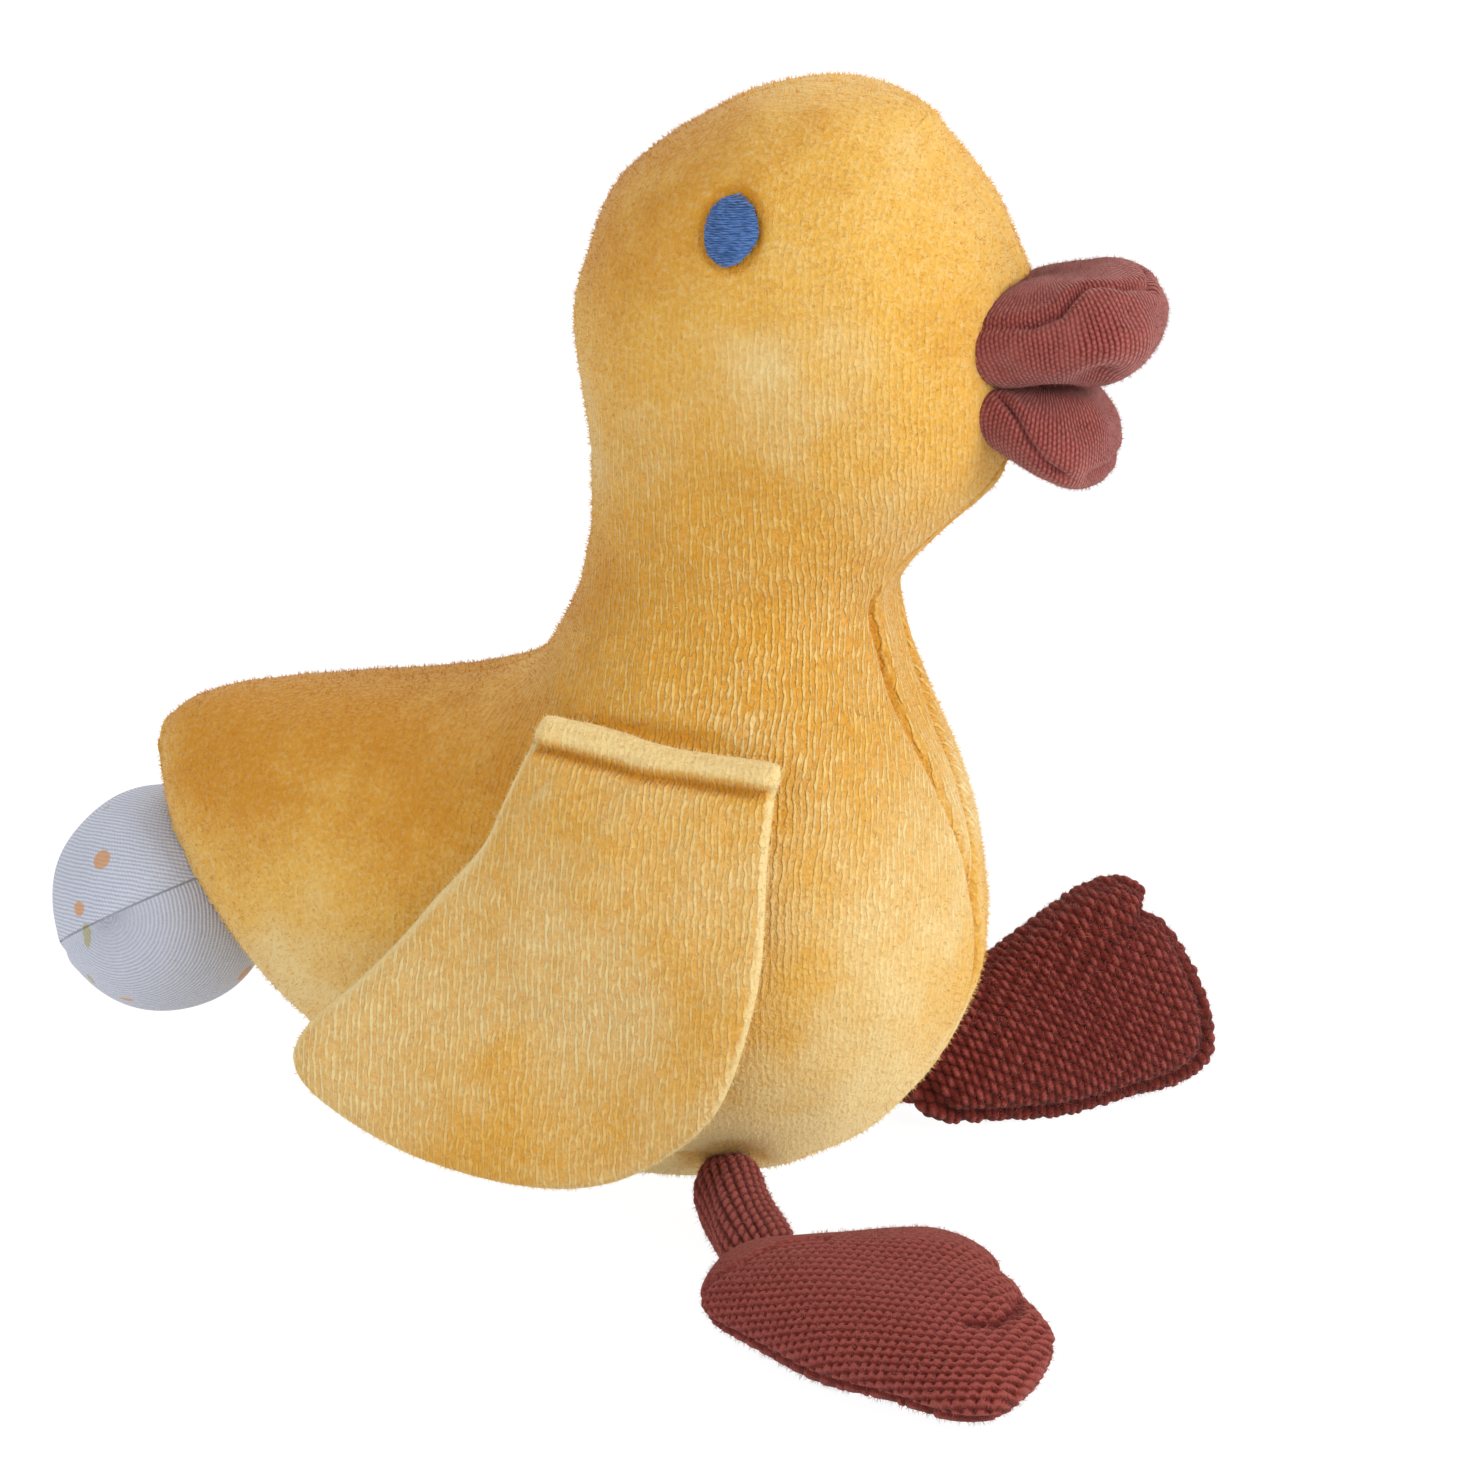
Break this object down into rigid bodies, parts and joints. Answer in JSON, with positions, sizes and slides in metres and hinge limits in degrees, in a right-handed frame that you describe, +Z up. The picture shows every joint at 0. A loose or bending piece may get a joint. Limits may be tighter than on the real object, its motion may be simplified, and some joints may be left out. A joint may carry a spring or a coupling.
{
  "type": "plush duck",
  "caption": "Seated plush duck in yellow velour with knitted beak and feet, hanging wings, and a ball on a cord that winds a musical movement in its belly",
  "frame": {"origin": "on the flat of the seat under the belly, below the body's widest part, on the floor plane", "axes": "+X towards the beak, +Y to the duck's left, +Z up"},
  "size_m": [0.2213, 0.1641, 0.2093],
  "materials": {
    "yellow_velour": "short-pile knitted velour",
    "brick_jersey": "fine jersey knit",
    "brick_knit": "coarse loop knit",
    "white_jersey": "fine printed jersey knit",
    "blue_satin": "satin-stitch embroidery",
    "core_wood": "turned, unfinished",
    "white_cord": "braided cotton",
    "case_plastic": "moulded, satin",
    "spring_steel": "bright",
    "cast_zinc": "die-cast, plain",
    "brass": "bright"
  },
  "bodies": {
    "torso": {"body": "yellow_velour", "case_base": "case_plastic", "case_cover": "case_plastic", "case_screw_1": "spring_steel", "case_screw_2": "spring_steel", "case_screw_3": "spring_steel", "movement_frame": "cast_zinc", "comb": "spring_steel", "comb_screw_1": "spring_steel", "comb_screw_2": "spring_steel", "spring_barrel": "brass", "mainspring": "spring_steel", "pull_cord": "white_cord"},
    "head": {"head": "yellow_velour", "beak_upper": "brick_jersey", "beak_lower": "brick_jersey", "eye_right": "blue_satin", "eye_left": "blue_satin"},
    "wing_right": {"wing_right": "yellow_velour"},
    "wing_left": {"wing_left": "yellow_velour"},
    "leg_right": {"leg_right": "brick_knit"},
    "leg_left": {"leg_left": "brick_knit"},
    "foot_right": {"foot_right": "brick_knit"},
    "foot_left": {"foot_left": "brick_knit"},
    "pull_ball": {"pull_ball_cover": "white_jersey", "pull_ball_core": "core_wood", "cord_knot": "white_cord"},
    "drum": {"main_shaft": "spring_steel", "pinned_cylinder": "brass", "cylinder_gear": "brass", "cord_drum": "case_plastic"},
    "governor": {"governor_shaft": "spring_steel", "governor_pinion": "spring_steel", "governor_fan": "case_plastic"}
  },
  "joints": [
    {"name": "head_nod", "type": "hinge", "parent": "torso", "child": "head", "pos_m": [0.00974, 0, 0.08624], "axis": [0, 1, 0], "range_deg": [-10, 10], "stiffness_Nm_per_rad": 2},
    {"name": "wing_flap_right", "type": "hinge", "parent": "torso", "child": "wing_right", "pos_m": [-0.00706, -0.03384, 0.09744], "axis": [-0.9957, 0.057, 0.0728], "range_deg": [0, 100], "stiffness_Nm_per_rad": 0.02},
    {"name": "wing_flap_left", "type": "hinge", "parent": "torso", "child": "wing_left", "pos_m": [-0.00706, 0.03384, 0.09744], "axis": [0.9957, 0.057, -0.0728], "range_deg": [0, 100], "stiffness_Nm_per_rad": 0.02},
    {"name": "hip_right", "type": "hinge", "parent": "torso", "child": "leg_right", "pos_m": [0.02201, -0.023, 0.00744], "axis": [0.8868, 0.4621, 0], "range_deg": [0, 50], "stiffness_Nm_per_rad": 0.05},
    {"name": "ankle_right", "type": "hinge", "parent": "leg_right", "child": "foot_right", "pos_m": [0.0465, -0.07, 0.01097], "axis": [0, 0, 1], "range_deg": [-15, 15], "stiffness_Nm_per_rad": 0.05},
    {"name": "hip_left", "type": "hinge", "parent": "torso", "child": "leg_left", "pos_m": [0.02201, 0.023, 0.00744], "axis": [-0.1931, 0.9812, 0], "range_deg": [0, 50], "stiffness_Nm_per_rad": 0.05},
    {"name": "ankle_left", "type": "hinge", "parent": "leg_left", "child": "foot_left", "pos_m": [0.0525, 0.029, 0.00941], "axis": [0, 0, 1], "range_deg": [-15, 15], "stiffness_Nm_per_rad": 0.05},
    {"name": "cord_pull", "type": "slide", "parent": "torso", "child": "pull_ball", "axis": [-1, 0, 0.0011], "range_m": [0, 0.12], "stiffness_N_per_m": 15, "springref_m": -0.05, "deforming": ["pull_cord"]},
    {"name": "drum_turn", "type": "hinge", "parent": "torso", "child": "drum", "pos_m": [-0.00598, 0, 0.04704], "axis": [0, 1, 0], "range_deg": [0, 756]},
    {"name": "governor_spin", "type": "hinge", "parent": "torso", "child": "governor", "pos_m": [0.00382, 0, 0.0572], "axis": [0, 1, 0], "range_deg": [-2268, 0]}
  ],
  "couplings": [
    {"joint": "drum_turn", "follows": "cord_pull", "rad_per_m": 109.89},
    {"joint": "governor_spin", "follows": "cord_pull", "rad_per_m": -329.67}
  ]
}
